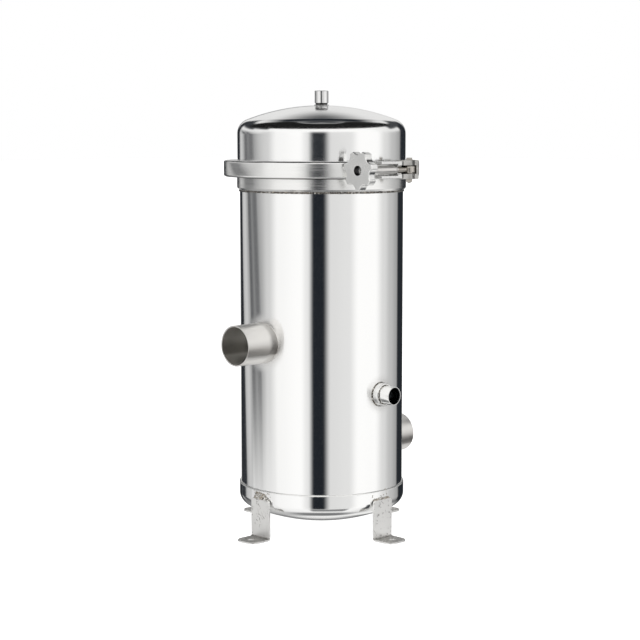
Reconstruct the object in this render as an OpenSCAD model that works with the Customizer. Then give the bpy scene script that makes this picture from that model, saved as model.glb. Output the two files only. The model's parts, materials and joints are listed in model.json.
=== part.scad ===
// Upright stainless cartridge filter housing for twelve 20 inch elements.
// A V-section band clamp with a swing bolt and star knob holds the domed lid.
// The origin is on the housing axis at the floor, +Z is up, the inlet points
// along -X, the outlet along +X and the side nozzle and clamp bolt along -Y.

/* [Housing] */
// Outside diameter of the housing shell
shell_d = 300; // [296:1:306]
// Wall of the shell, the heads and the lid
wall = 3; // [2:0.5:4]
// Height of the lowest point of the bottom head above the floor
ground_clearance = 18.1; // [12:0.1:60]
// Crown radius of the bottom head
head_crown_r = 341; // [320:1:400]
// Knuckle radius of the bottom head
head_knuckle_r = 22; // [16:1:28]
// Height of the bottom head's skirt above its tangent line
skirt_h = 18.9; // [10:0.1:30]

/* [Lid] */
// Height of the lid's straight wall above the joint
lid_wall_h = 62.8; // [60:0.2:90]
// Crown radius of the lid
lid_crown_r = 377; // [330:1:420]
// Knuckle radius of the lid
lid_knuckle_r = 27.5; // [20:0.5:32]
// Outside diameter of the vent socket
vent_d = 25; // [23:0.5:32]
// Height of the vent socket above the lid
vent_h = 26.5; // [20:0.1:40]
// Thread core diameter of the vent socket
vent_bore_d = 18.63; // [11.5:0.01:19]

/* [Flanges and seal] */
// Step from the shell to the reinforcing ring below the clamp
ring_step = 5; // [4:0.5:6]
// Height of the reinforcing ring below the lid joint, with its chamfer
ring_h = 39.8; // [34:0.1:60]
// Width of the lip that the clamp grips
lip_w = 13; // [12:0.5:14]
// Thickness of each lip at its rim
lip_t = 6; // [5:0.5:7]
// Slope of the lips and of the clamp, in degrees
lip_slope = 20; // [15:1:22]
// Thickness of the sealing ring's cord
seal_cord_d = 4.4; // [3.5:0.1:5]

/* [Clamp] */
// Height of the clamp band
band_h = 30; // [29:0.5:34]
// Thickness of the band outside the lips
band_t = 10; // [8:0.5:12]
// Corner radius of the band
band_corner_r = 4; // [2:0.5:4.5]
// Diameter of the hinge pin behind the clamp
hinge_pin_d = 8; // [6:0.5:9]
// Distance of the bolt's centre line from the band
bolt_offset = 12; // [10.5:0.5:13]
// Diameter of the swing bolt
bolt_d = 10; // [8:0.5:12]
// Diameter of the pin that the bolt swings on
swing_pin_d = 6; // [5:0.5:7]
// Distance of that pin from the housing's middle plane
swing_pin_x = 28; // [26:0.5:34]
// Length of the swing bolt from its pin
bolt_l = 112; // [100:1:120]
// Distance of the knob's bearing shoulder from the middle plane
shoulder_x = 6; // [3:0.5:14]

/* [Knob] */
// Diameter of the star knob over its lobes
knob_d = 68; // [60:1:76]
// Thickness of the star knob
knob_t = 16; // [12:1:20]
// Number of lobes
knob_lobes = 7; // [5:1:8]
// Depth of the scallops between the lobes
knob_scallop = 6.5; // [3:0.5:7]
// Gap between the knob and the clamp band beside it
knob_clearance = 2.1; // [1.5:0.1:6]
// Diameter of the knob's sleeve
sleeve_d = 15; // [14:0.5:18]
// Diameter of the open hole in the knob's face
knob_hole_d = 16.5; // [14:0.5:20]

/* [Nozzles] */
// Outside diameter of the inlet and outlet pipes
pipe_d = 73; // [60:1:80]
// Wall of the inlet and outlet pipes
pipe_wall = 2.5; // [2:0.5:4]
// How far each pipe stands out of the shell
pipe_l = 66.3; // [50:0.1:90]
// Height of the inlet's centre line above the tube plate
inlet_rise = 146.3; // [110:0.1:260]
// Height of the outlet's centre line below the tube plate
outlet_drop = 60; // [52:1:68]
// Outside diameter of the side nozzle
nozzle_d = 33.4; // [26:0.1:40]
// Wall of the side nozzle
nozzle_wall = 1.65; // [1.2:0.05:3]
// How far the side nozzle stands out of the shell
nozzle_l = 34; // [24:1:50]
// Height of the side nozzle's centre line above the tube plate
nozzle_rise = 53.5; // [40:0.5:60]
// Diameter of the collar at the side nozzle's root
collar_d = 42; // [41:0.5:50]
// Length of that collar
collar_l = 10; // [6:1:14]

/* [Feet] */
// Width of each foot
foot_w = 47; // [36:1:56]
// Thickness of the foot plate
foot_t = 4; // [3:0.5:6]
// Height of each foot above the bottom head's tangent line
foot_rise = 5.7; // [1:0.1:8]
// Length of each foot's pad
foot_l = 44.6; // [40:0.1:60]
// Distance of the anchor hole from the back of the foot
anchor_offset = 26.6; // [20:0.1:30]
// Diameter of each anchor hole
anchor_d = 12; // [8:0.5:16]

/* [Filter elements] */
// Bore of a cartridge
cartridge_bore_d = 28; // [27:0.5:30]
// Length of a cartridge
cartridge_l = 508; // [490:1:508]
// Gap between the outer ring of cartridges and the shell
element_gap = 8.5; // [6:0.5:9]
// Gap between the outer and the inner ring of cartridges
ring_gap = 2; // [1:0.5:6]
// Number of cartridges in the outer ring
outer_count = 9; // [6:1:9]
// Height of the tube plate above the bottom head's tangent line
chamber_h = 143.7; // [136:0.1:160]
// Height of the cartridges' tops above the lid joint
element_rise = 59.9; // [50:0.1:62.5]
// Thickness of the tube plate
tube_plate_t = 4; // [3:0.5:6]
// Diameter of the central tie rod
tie_rod_d = 12; // [10:0.5:12]
// Width of the hold-down plate outside the outer ring's centre line
hold_down_rim = 17; // [14:0.5:18]

/* [Hidden] */
$fn = 96;
fine_fn = 240;
eps = 1;
full_turn = 360;
weld_gap = 0.1;
seat_gap = 0.3;
fit_gap = 0.05;

// Radii of the shell, the bottom head's skirt and the lid
shell_r = shell_d / 2;
skirt_r = shell_r + weld_gap + wall;
ring_r = shell_r + ring_step;
lid_r = ring_r - 1;
lip_r = ring_r + lip_w;
bore_r = shell_r - wall;

// Rise of a dished head from its tangent line to its apex
function head_rise(r, crown, knuckle) =
    crown - sqrt(pow(crown - knuckle, 2) - pow(r - knuckle, 2));

// Points of an arc about c, from angle a0 to a1 in n steps
function arc(c, r, a0, a1, n) =
    [for (i = [0 : n]) let (a = a0 + (a1 - a0) * i / n) [c[0] + r * cos(a), c[1] + r * sin(a)]];

// Cartridges: the inner ring's radius is a share of their diameter, and both
// rings with their gaps fill the shell's bore
inner_share = 2 / 3;
cartridge_d = (bore_r - element_gap - ring_gap) / (inner_share + 1.5);
inner_ring_r = inner_share * cartridge_d;
outer_ring_r = inner_ring_r + cartridge_d + ring_gap;

// Seats under the cartridges
seat_bore_r = 10;
seat_flange_r = cartridge_d / 2 - 4.5;
seat_flange_t = 2;
seat_spigot_r = 12.4;
seat_spigot_l = 8;
seat_post_h = 12;
post_chamfer = 2;
knife_r = seat_flange_r - 5;
knife_h = 1.5;
knife_w = 2;
post_r = cartridge_bore_d / 2 - 0.5;

// Heights from the floor up
head_tangent_z = ground_clearance + head_rise(skirt_r, head_crown_r, head_knuckle_r);
lap_z = head_tangent_z + skirt_h;
tube_plate_z = head_tangent_z + chamber_h;
tube_plate_top = tube_plate_z + tube_plate_t;
cartridge_z = tube_plate_top + weld_gap + seat_flange_t + knife_h + seat_gap;
cartridge_top = cartridge_z + cartridge_l;
joint_z = cartridge_top - element_rise;
lid_bottom_z = joint_z + seat_gap;
band_z = joint_z - band_h / 2;
ring_z = joint_z - ring_h;
lid_tangent_z = joint_z + lid_wall_h;
lid_apex_z = lid_tangent_z + head_rise(lid_r, lid_crown_r, lid_knuckle_r);
lid_seam_z = band_z + band_h;
vent_top_z = lid_apex_z + vent_h;

// The clamp band and the lips that it grips
band_gap = 1;
band_in_r = lip_r + band_gap;
band_out_r = band_in_r + band_t;
grip_clearance = 0.3;
grip_in_r = ring_r + 2;
lip_rise = tan(lip_slope);
lip_root_z = lip_t + (lip_r - lid_r) * lip_rise;
ring_root_z = lip_t + lip_w * lip_rise;
grip_start = 25;
grip_end = 153;
seal_r = (ring_r + lip_r) / 2 - 1;
groove_w = seal_cord_d + 1.2;
groove_depth = seal_cord_d - seat_gap + fit_gap;

// The back hinge
knuckle_r = hinge_pin_d / 2 + 4;
hinge_y = band_out_r + knuckle_r;
knuckle_h = (band_h - 2 * seat_gap) / 3;
hinge_arm_in = 4;
band_end_x = knuckle_r + 2;

// The bolt, its ears and the knob, along the bolt's centre line
bolt_y = -(band_out_r + bolt_offset);
ear_a_h = band_h + 0.4;
ear_b_h = band_h + 3.4;
ear_root_y = 20 - band_out_r;
ear_out_y = bolt_y - bolt_d / 2;
shoulder_out_y = bolt_y - bolt_d / 2 + 2;
shoulder_t = 11;
ear_a_l = 42;
ear_a_taper = 17;
channel_h = sleeve_d + 4.6;
recess_h = bolt_d + 4.7;
rod_slot_h = bolt_d + 1;
eye_r = 10;
eye_h = 14;
eye_slot_h = eye_h + 0.8;
ear_b_start = shoulder_t - shoulder_x + 2.5;
ear_b_web_t = 6;
ear_b_end = swing_pin_x + eye_r + 0.5 + ear_b_web_t;
lip_plate_w = 10.7;
lip_plate_reach = 3;
hex_af = swing_pin_d + 4;
hex_head_h = 4;
hex_nut_h = 5;
washer_t = 1.5;
nose_x = -(shoulder_x + washer_t + 2 * seat_gap);
nose_taper = 0.6 * (sleeve_d - bolt_d) / 2;
nose_l = 5;
washer_r = sleeve_d / 2 - nose_taper;
knob_back_x = -sqrt(pow(band_out_r, 2) - pow(bolt_y + knob_d / 2, 2)) - knob_clearance;
sleeve_l = nose_x - knob_back_x;
spigot_l = 6;
spigot_r = (sleeve_d + bolt_d) / 4;
scallop_r = 13;

// The pipes and the side nozzle
pipe_reach = shell_r + pipe_l;
inlet_z = tube_plate_z + inlet_rise;
outlet_z = tube_plate_z - outlet_drop;
nozzle_reach = shell_r + nozzle_l;
nozzle_z = tube_plate_z + nozzle_rise;
collar_start = shell_r + 1.5;

// The feet
foot_in_r = skirt_r + seat_gap;
foot_h = head_tangent_z + foot_rise;
foot_reach = foot_in_r + foot_l;
anchor_r = foot_in_r + anchor_offset;
foot_bend_r = foot_t + 2;
foot_tip_r = 14;
foot_top_r = 6;

// The filter elements and what holds them
ring_ledge_w = 12;
ring_ledge_h = 10;
hold_down_r = outer_ring_r + hold_down_rim;
cup_z = cartridge_top + seat_gap + knife_h;
spring_z = cup_z + seat_flange_t + seat_gap;
spring_h = 9.7;
spring_turns = 3;
spring_r = 11.5;
spring_wire = 2;
hold_down_z = spring_z + spring_h + seat_gap;
hold_down_t = 3;
nut_washer_t = 2.5;
wing_nut_z = hold_down_z + hold_down_t + nut_washer_t + 2 * seat_gap;
wing_hub_h = 10;
wing_h = 17;
rod_nut_h = 8;
rod_end = 4;
tie_rod_top = wing_nut_z + wing_h + 3;
inner_count = 3;
element_count = outer_count + inner_count;
outer_start = 20;
inner_start = 60;

// Places of the cartridges: the outer ring first, then the inner ring
element_xy = concat(
    [for (i = [0 : outer_count - 1])
        let (a = outer_start + i * full_turn / outer_count)
        [outer_ring_r * cos(a), outer_ring_r * sin(a)]],
    [for (i = [0 : inner_count - 1])
        let (a = inner_start + i * full_turn / inner_count)
        [inner_ring_r * cos(a), inner_ring_r * sin(a)]]
);

function cartridge_name(i) = str("cartridge_", i < 9 ? "0" : "", i + 1);

foot_names = ["foot_right", "foot_back", "foot_left", "foot_front"];

// Outline of a dished head about the Z axis: a cylinder of height h, the
// knuckle and the crown, with the tangent line at height 0
module head_outline(r, crown, knuckle, h) {
    centre_z = -sqrt(pow(crown - knuckle, 2) - pow(r - knuckle, 2));
    reach = [r - knuckle, -centre_z] * 2;
    translate([0, -h])
        square([r, h]);
    translate([r - knuckle, 0])
        circle(knuckle, $fn = $fn);
    intersection() {
        translate([0, centre_z])
            circle(crown, $fn = fine_fn);
        polygon([[0, centre_z], [reach[0], centre_z + reach[1]], [0, centre_z + reach[1]]]);
    }
}

// Hollow dished head of wall t, opening downwards
module dished_head(r, crown, knuckle, h, t) {
    rotate_extrude($fn = fine_fn)
        intersection() {
            difference() {
                head_outline(r, crown, knuckle, h);
                head_outline(r - t, crown - t, knuckle - t, h + eps);
            }
            translate([0, -h])
                square([r, h + crown]);
        }
}

// Tube along Z from z0 to z1
module tube(r_out, r_in, z0, z1) {
    translate([0, 0, z0])
        difference() {
            cylinder(r = r_out, h = z1 - z0);
            translate([0, 0, -eps])
                cylinder(r = r_in, h = z1 - z0 + 2 * eps);
        }
}

// Cylinder along an axis that leaves the housing at angle a and height z
module radial_cylinder(r, a, z, from, to) {
    rotate([0, 0, a])
        translate([from, 0, z])
            rotate([0, 90, 0])
                cylinder(r = r, h = to - from);
}

// Sector of a disc between two angles, tall enough for the clamp
module sector(a0, a1, r) {
    translate([0, 0, band_z - eps])
        linear_extrude(band_h + 2 * eps)
            polygon(concat([[0, 0]], arc([0, 0], r, a0, a1, 8)));
}

module shell() {
    color("silver")
        difference() {
            tube(shell_r, bore_r, head_tangent_z, joint_z - ring_root_z, $fn = fine_fn);
            radial_cylinder(pipe_d / 2 + weld_gap, 180, inlet_z, bore_r / 2, shell_r + eps);
            radial_cylinder(pipe_d / 2 + weld_gap, 0, outlet_z, bore_r / 2, shell_r + eps);
            radial_cylinder(nozzle_d / 2 + weld_gap, -90, nozzle_z, bore_r / 2, shell_r + eps);
        }
}

module bottom_head() {
    color("silver")
        translate([0, 0, head_tangent_z])
            mirror([0, 0, 1])
                dished_head(skirt_r, head_crown_r, head_knuckle_r, skirt_h, wall);
}

// Reinforcing ring with a chamfered foot and the sloping lip that the clamp grips
module shell_flange() {
    chamfer = ring_step;
    root_z = joint_z - ring_root_z;
    color("silver")
        difference() {
            rotate_extrude($fn = fine_fn)
                polygon([
                    [shell_r + weld_gap, ring_z],
                    [shell_r + 0.5, ring_z],
                    [ring_r, ring_z + chamfer],
                    [ring_r, root_z],
                    [lip_r, joint_z - lip_t],
                    [lip_r, joint_z],
                    [bore_r, joint_z],
                    [bore_r, root_z + weld_gap],
                    [shell_r + weld_gap, root_z + weld_gap]
                ]);
            tube(seal_r + groove_w / 2, seal_r - groove_w / 2, joint_z - groove_depth, joint_z + eps);
        }
}

module lid_seal() {
    color("dimgray")
        translate([0, 0, joint_z - groove_depth + fit_gap / 2 + seal_cord_d / 2])
            rotate_extrude($fn = fine_fn)
                translate([seal_r, 0])
                    circle(d = seal_cord_d - fit_gap, $fn = 32);
}

// Pipe stub set into the shell along angle a, open at both ends
module pipe_stub(r_out, r_in, a, z, reach) {
    difference() {
        radial_cylinder(r_out, a, z, bore_r / 2, reach);
        radial_cylinder(r_in, a, z, bore_r / 2 - eps, reach + eps);
        translate([0, 0, z - r_out - eps])
            cylinder(r = bore_r, h = 2 * (r_out + eps), $fn = fine_fn);
    }
}

module inlet_pipe() {
    color("silver")
        pipe_stub(pipe_d / 2, pipe_d / 2 - pipe_wall, 180, inlet_z, pipe_reach);
}

module outlet_pipe() {
    color("silver")
        pipe_stub(pipe_d / 2, pipe_d / 2 - pipe_wall, 0, outlet_z, pipe_reach);
}

module side_nozzle() {
    color("silver")
        pipe_stub(nozzle_d / 2, nozzle_d / 2 - nozzle_wall, -90, nozzle_z, nozzle_reach);
}

// Collar round the side nozzle, hollowed to sit on the shell
module side_nozzle_collar() {
    color("silver")
        difference() {
            radial_cylinder(collar_d / 2, -90, nozzle_z, bore_r, collar_start + collar_l);
            radial_cylinder(nozzle_d / 2 + weld_gap, -90, nozzle_z, bore_r - eps, collar_start + collar_l + eps);
            translate([0, 0, nozzle_z - collar_d])
                cylinder(r = shell_r + weld_gap, h = 2 * collar_d, $fn = fine_fn);
        }
}

// Bent foot plate that leaves the housing at angle a, with one anchor hole
module foot(a) {
    color("silver")
        rotate([0, 0, a])
            difference() {
                rotate([90, 0, 0])
                    translate([0, 0, -foot_w / 2])
                        linear_extrude(foot_w)
                            polygon(concat(
                                [[foot_in_r, foot_h]],
                                arc([foot_in_r + foot_bend_r, foot_bend_r], foot_bend_r, 180, 270, 8),
                                [[foot_reach, 0], [foot_reach, foot_t]],
                                arc([foot_in_r + foot_bend_r, foot_bend_r], foot_bend_r - foot_t, 270, 180, 8),
                                [[foot_in_r + foot_t, foot_h]]
                            ));
                translate([anchor_r, 0, -eps])
                    cylinder(d = anchor_d, h = foot_t + 2 * eps);
                for (side = [-1, 1]) {
                    foot_corner([foot_reach, side * foot_w / 2, foot_t / 2], [0, 0, 0], foot_tip_r, side);
                    foot_corner([foot_in_r + foot_t / 2, side * foot_w / 2, foot_h], [0, -90, 0], foot_top_r, side);
                }
            }
}

// What a rounded corner of radius r takes off a plate at point p
module foot_corner(p, turn, r, side) {
    translate(p)
        rotate(turn)
            translate([-r, -side * r, -foot_t])
                difference() {
                    translate([0, side > 0 ? 0 : -r - eps, 0])
                        cube([r + eps, r + eps, 2 * foot_t]);
                    translate([0, 0, -eps])
                        cylinder(r = r, h = 2 * foot_t + 2 * eps, $fn = 48);
                }
}

module tube_plate() {
    color("silver")
        translate([0, 0, tube_plate_z])
            difference() {
                cylinder(r = bore_r - seat_gap, h = tube_plate_t, $fn = fine_fn);
                for (p = element_xy)
                    translate([p[0], p[1], -eps])
                        cylinder(r = seat_spigot_r + weld_gap, h = tube_plate_t + 2 * eps);
                translate([0, 0, -eps])
                    cylinder(r = tie_rod_d / 2 + weld_gap, h = tube_plate_t + 2 * eps);
            }
}

module plate_ledge() {
    ledge_top = tube_plate_z - weld_gap;
    color("silver")
        tube(bore_r - weld_gap, bore_r - ring_ledge_w, ledge_top - ring_ledge_h, ledge_top, $fn = fine_fn);
}

// Turned seat: a spigot through the plate, a flange with a knife edge and a
// guide post inside the cartridge
module cartridge_seat() {
    flange_z = tube_plate_top + weld_gap;
    top_z = flange_z + seat_flange_t;
    spigot_z = tube_plate_z - seat_spigot_l;
    rotate_extrude()
        polygon([
            [seat_bore_r, spigot_z],
            [seat_spigot_r, spigot_z],
            [seat_spigot_r, flange_z],
            [seat_flange_r, flange_z],
            [seat_flange_r, top_z],
            [knife_r + knife_w, top_z],
            [knife_r, top_z + knife_h],
            [knife_r - knife_w, top_z],
            [post_r, top_z],
            [post_r, top_z + seat_post_h - post_chamfer],
            [post_r - post_chamfer, top_z + seat_post_h],
            [seat_bore_r, top_z + seat_post_h]
        ]);
}

module cartridge_seats() {
    color("gainsboro")
        for (p = element_xy)
            translate([p[0], p[1], 0])
                cartridge_seat();
}

module tie_rod() {
    color("silver")
        translate([0, 0, tube_plate_z - rod_nut_h - rod_end])
            cylinder(d = tie_rod_d, h = tie_rod_top - tube_plate_z + rod_nut_h + rod_end);
}

// The two nuts that lock the tie rod to the tube plate
module tie_rod_nuts() {
    color("silver")
        for (z = [tube_plate_z - rod_nut_h - weld_gap, tube_plate_top + weld_gap])
            translate([0, 0, z])
                hex_nut(tie_rod_d + 7, tie_rod_d / 2 + fit_gap, rod_nut_h);
}

// Hexagon nut of width across flats af, resting on height 0
module hex_nut(af, hole_r, h) {
    difference() {
        cylinder(d = af / cos(30), h = h, $fn = 6);
        translate([0, 0, -eps])
            cylinder(r = hole_r, h = h + 2 * eps, $fn = 48);
    }
}

module cartridge(i) {
    color("white")
        translate([element_xy[i][0], element_xy[i][1], 0])
            tube(cartridge_d / 2, cartridge_bore_d / 2, cartridge_z, cartridge_top);
}

module lid_dome() {
    color("silver")
        difference() {
            translate([0, 0, lid_tangent_z])
                dished_head(lid_r, lid_crown_r, lid_knuckle_r, lid_tangent_z - lid_seam_z, wall);
            translate([0, 0, lid_tangent_z])
                cylinder(r = vent_bore_d / 2 + seat_gap, h = lid_apex_z);
        }
}

// Ring with the upper sloping lip and the neck that the dome is welded to
module lid_flange() {
    color("silver")
        rotate_extrude($fn = fine_fn)
            polygon([
                [lid_r - wall, lid_bottom_z],
                [lip_r, lid_bottom_z],
                [lip_r, joint_z + lip_t],
                [lid_r, joint_z + lip_root_z],
                [lid_r, lid_seam_z - weld_gap],
                [lid_r - wall, lid_seam_z - weld_gap]
            ]);
}

// Threaded socket with a narrow neck welded to the top of the lid
module vent_socket() {
    neck_r = vent_d / 2 - 0.8;
    groove_r = vent_d / 2 - 1.8;
    root_z = lid_apex_z + weld_gap;
    groove_z = lid_apex_z + 1.5;
    body_z = groove_z + 2;
    color("silver")
        rotate_extrude()
            polygon([
                [vent_bore_d / 2, root_z],
                [neck_r, root_z],
                [neck_r, groove_z],
                [groove_r, groove_z],
                [groove_r, body_z],
                [vent_d / 2, body_z + 0.5],
                [vent_d / 2, vent_top_z - 0.8],
                [vent_d / 2 - 0.8, vent_top_z],
                [vent_bore_d / 2 + 0.8, vent_top_z],
                [vent_bore_d / 2, vent_top_z - 0.8]
            ]);
}

// Section of the band's outer web, with rounded corners outside
module web_section() {
    top_z = band_z + band_h;
    c = band_corner_r;
    polygon(concat(
        [[band_in_r, band_z]],
        arc([band_out_r - c, band_z + c], c, 270, 360, 6),
        arc([band_out_r - c, top_z - c], c, 0, 90, 6),
        [[band_in_r, top_z]]
    ));
}

// Section of the sloping lip above the joint: it meets the lid flange's slope
module grip_section() {
    rim_z = joint_z + lip_t + grip_clearance - band_gap * lip_rise;
    root_z = rim_z + (band_in_r - grip_in_r) * lip_rise;
    top_z = band_z + band_h;
    polygon([
        [band_in_r + eps, rim_z],
        [band_in_r, rim_z],
        [grip_in_r, root_z],
        [grip_in_r, top_z - 1],
        [grip_in_r + 1, top_z],
        [band_in_r + eps, top_z]
    ]);
}

// Half of the clamp band on the side given by sign, with its hinge knuckles
module clamp_half(sign, knuckles) {
    back_a = 90 - sign * asin(band_end_x / band_in_r);
    front_x = sign < 0 ? shoulder_x - shoulder_t : ear_b_start;
    front_a = -90 + sign * asin(front_x / band_in_r);
    far = 2 * band_out_r;
    difference() {
        union() {
            intersection() {
                rotate_extrude($fn = fine_fn)
                    web_section();
                sector(back_a, sign < 0 ? front_a + full_turn : front_a, far);
            }
            intersection() {
                rotate_extrude($fn = fine_fn) {
                    grip_section();
                    translate([0, 2 * joint_z])
                        mirror([0, 1])
                            grip_section();
                }
                sector(90 - sign * grip_start, 90 - sign * grip_end, far);
            }
            for (k = knuckles)
                hinge_knuckle(sign, band_z + k * (knuckle_h + seat_gap));
        }
        translate([0, hinge_y, band_z - eps])
            cylinder(r = hinge_pin_d / 2 + fit_gap, h = band_h + 2 * eps);
    }
}

// One knuckle and the arm that joins it to the end of the band
module hinge_knuckle(sign, z) {
    arm_x = band_end_x + hinge_arm_in;
    translate([0, hinge_y, z])
        cylinder(r = knuckle_r, h = knuckle_h);
    translate([sign > 0 ? 0 : -arm_x, band_in_r + 3, z])
        cube([arm_x, hinge_y - band_in_r - 3, knuckle_h]);
}

module clamp_half_a() {
    color("lightgray")
        clamp_half(-1, [1]);
}

module clamp_half_b() {
    color("lightgray")
        clamp_half(1, [0, 2]);
}

// Box between two corners
module box(low, high) {
    translate(low)
        cube(high - low);
}

// Forked ear: two prongs round the sleeve and a slotted shoulder for its nose
module ear_a() {
    end_x = -(shoulder_x - shoulder_t);
    far_x = end_x - shoulder_t - ear_a_l;
    low_z = joint_z - ear_a_h / 2;
    color("lightgray")
        difference() {
            translate([0, 0, low_z])
                linear_extrude(ear_a_h)
                    polygon([
                        [end_x, ear_root_y],
                        [end_x, ear_out_y],
                        [far_x, ear_out_y],
                        [far_x - ear_a_taper, ear_root_y]
                    ]);
            ear_bed();
            box([far_x - 2 * ear_a_taper, ear_out_y - eps, joint_z - channel_h / 2],
                [-shoulder_x, bolt_y + sleeve_d / 2 + 0.5, joint_z + channel_h / 2]);
            box([-shoulder_x - eps, ear_out_y - eps, joint_z - recess_h / 2],
                [end_x + eps, shoulder_out_y, joint_z + recess_h / 2]);
            box([-shoulder_x - eps, ear_out_y - eps, joint_z - rod_slot_h / 2],
                [end_x + eps, bolt_y + rod_slot_h / 2, joint_z + rod_slot_h / 2]);
        }
}

// The band's face that each ear is fitted to
module ear_bed() {
    translate([0, 0, joint_z - band_h])
        cylinder(r = band_out_r + weld_gap, h = 2 * band_h, $fn = fine_fn);
}

// Ear with two plates for the swing pin, joined at the end behind the eye
module ear_b() {
    low_z = joint_z - ear_b_h / 2;
    step_x = ear_b_end - lip_plate_w;
    color("lightgray")
        difference() {
            translate([0, 0, low_z])
                linear_extrude(ear_b_h)
                    polygon([
                        [ear_b_start, ear_root_y],
                        [ear_b_start, ear_out_y],
                        [step_x, ear_out_y],
                        [step_x, ear_out_y - lip_plate_reach],
                        [ear_b_end, ear_out_y - lip_plate_reach],
                        [ear_b_end, bolt_y],
                        [ear_b_end + ear_a_taper, ear_root_y]
                    ]);
            ear_bed();
            box([ear_b_start - eps, ear_out_y - lip_plate_reach - eps, joint_z - eye_slot_h / 2],
                [ear_b_end - ear_b_web_t, bolt_y + eye_r + 0.5, joint_z + eye_slot_h / 2]);
            translate([swing_pin_x, bolt_y, low_z - eps])
                cylinder(r = swing_pin_d / 2 + fit_gap, h = ear_b_h + 2 * eps);
        }
}

// Riveted pin of the back hinge
module hinge_pin() {
    head_h = 2.5;
    color("silver")
        translate([0, hinge_y, band_z]) {
            translate([0, 0, -seat_gap])
                cylinder(d = hinge_pin_d, h = band_h + 2 * seat_gap);
            for (z = [-seat_gap - head_h, band_h + seat_gap])
                translate([0, 0, z])
                    cylinder(r = hinge_pin_d / 2 + 2, h = head_h);
        }
}

// Hexagon bolt that the eye swings on
module swing_pin() {
    color("silver")
        translate([swing_pin_x, bolt_y, joint_z]) {
            translate([0, 0, -ear_b_h / 2 - hex_nut_h - 2])
                cylinder(d = swing_pin_d, h = ear_b_h + hex_nut_h + 2 + weld_gap);
            translate([0, 0, ear_b_h / 2 + weld_gap])
                cylinder(d = hex_af / cos(30), h = hex_head_h, $fn = 6);
        }
}

module swing_pin_nut() {
    color("silver")
        translate([swing_pin_x, bolt_y, joint_z - ear_b_h / 2 - hex_nut_h - weld_gap])
            hex_nut(hex_af, swing_pin_d / 2 + fit_gap, hex_nut_h);
}

// Swing bolt: a ball-shaped eye with flat ends and a threaded rod
module swing_bolt() {
    color("silver")
        translate([swing_pin_x, bolt_y, joint_z])
            difference() {
                union() {
                    intersection() {
                        sphere(r = eye_r + 1);
                        cylinder(r = eye_r, h = eye_h, center = true);
                    }
                    rotate([0, -90, 0])
                        cylinder(d = bolt_d - 2 * fit_gap, h = bolt_l);
                }
                cylinder(r = swing_pin_d / 2 + fit_gap, h = 2 * eye_h, center = true);
            }
}

// Tube along the bolt from x0 to x1
module bolt_tube(r_out, r_in, x0, x1) {
    translate([x0, bolt_y, joint_z])
        rotate([0, 90, 0])
            tube(r_out, r_in, 0, x1 - x0);
}

module thrust_washer() {
    start_x = nose_x + seat_gap;
    color("silver")
        bolt_tube(washer_r, bolt_d / 2, start_x, start_x + washer_t);
}

// Threaded sleeve with a chamfered nose and a spigot into the knob
module knob_sleeve() {
    color("silver")
        translate([knob_back_x, bolt_y, joint_z])
            rotate([0, 90, 0])
                rotate_extrude()
                    polygon([
                        [bolt_d / 2, -spigot_l],
                        [spigot_r, -spigot_l],
                        [spigot_r, weld_gap],
                        [sleeve_d / 2, weld_gap],
                        [sleeve_d / 2, sleeve_l - nose_l],
                        [sleeve_d / 2 - nose_taper, sleeve_l],
                        [bolt_d / 2, sleeve_l]
                    ]);
}

// Star knob: a disc with a round scallop between each pair of lobes
module star_knob() {
    scallop_centre = knob_d / 2 - knob_scallop + scallop_r;
    color("silver")
        translate([knob_back_x - knob_t, bolt_y, joint_z])
            rotate([0, 90, 0])
                difference() {
                    linear_extrude(knob_t)
                        difference() {
                            circle(d = knob_d, $fn = 120);
                            for (i = [0 : knob_lobes - 1])
                                rotate((i + 0.5) * full_turn / knob_lobes)
                                    translate([scallop_centre, 0])
                                        circle(scallop_r, $fn = 48);
                        }
                    translate([0, 0, -eps])
                        cylinder(d = knob_hole_d, h = knob_t - spigot_l + eps - weld_gap);
                    translate([0, 0, knob_t / 2])
                        cylinder(r = spigot_r + weld_gap, h = knob_t);
                }
}

module hold_down_plate() {
    color("silver")
        translate([0, 0, hold_down_z])
            difference() {
                cylinder(r = hold_down_r, h = hold_down_t, $fn = fine_fn);
                for (p = element_xy)
                    translate([p[0], p[1], -eps])
                        cylinder(r = spring_r - 3, h = hold_down_t + 2 * eps, $fn = 48);
                translate([0, 0, -eps])
                    cylinder(r = tie_rod_d / 2 + fit_gap, h = hold_down_t + 2 * eps);
            }
}

module hold_down_washer() {
    color("silver")
        tube(tie_rod_d / 2 + 9, tie_rod_d / 2 + fit_gap,
            hold_down_z + hold_down_t + seat_gap,
            hold_down_z + hold_down_t + seat_gap + nut_washer_t);
}

// Cap on a cartridge: a knife edge below and a boss that centres the spring
module spring_cup() {
    boss_r = spring_r - spring_wire / 2 - 1;
    rotate_extrude()
        polygon([
            [0, cartridge_top - seat_post_h],
            [post_r - post_chamfer, cartridge_top - seat_post_h],
            [post_r, cartridge_top - seat_post_h + post_chamfer],
            [post_r, cup_z],
            [knife_r - knife_w, cup_z],
            [knife_r, cup_z - knife_h],
            [knife_r + knife_w, cup_z],
            [seat_flange_r, cup_z],
            [seat_flange_r, cup_z + seat_flange_t],
            [boss_r, cup_z + seat_flange_t],
            [boss_r, cup_z + seat_flange_t + 4],
            [0, cup_z + seat_flange_t + 4]
        ]);
}

module spring_cups() {
    color("gainsboro")
        for (p = element_xy)
            translate([p[0], p[1], 0])
                spring_cup();
}

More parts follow.
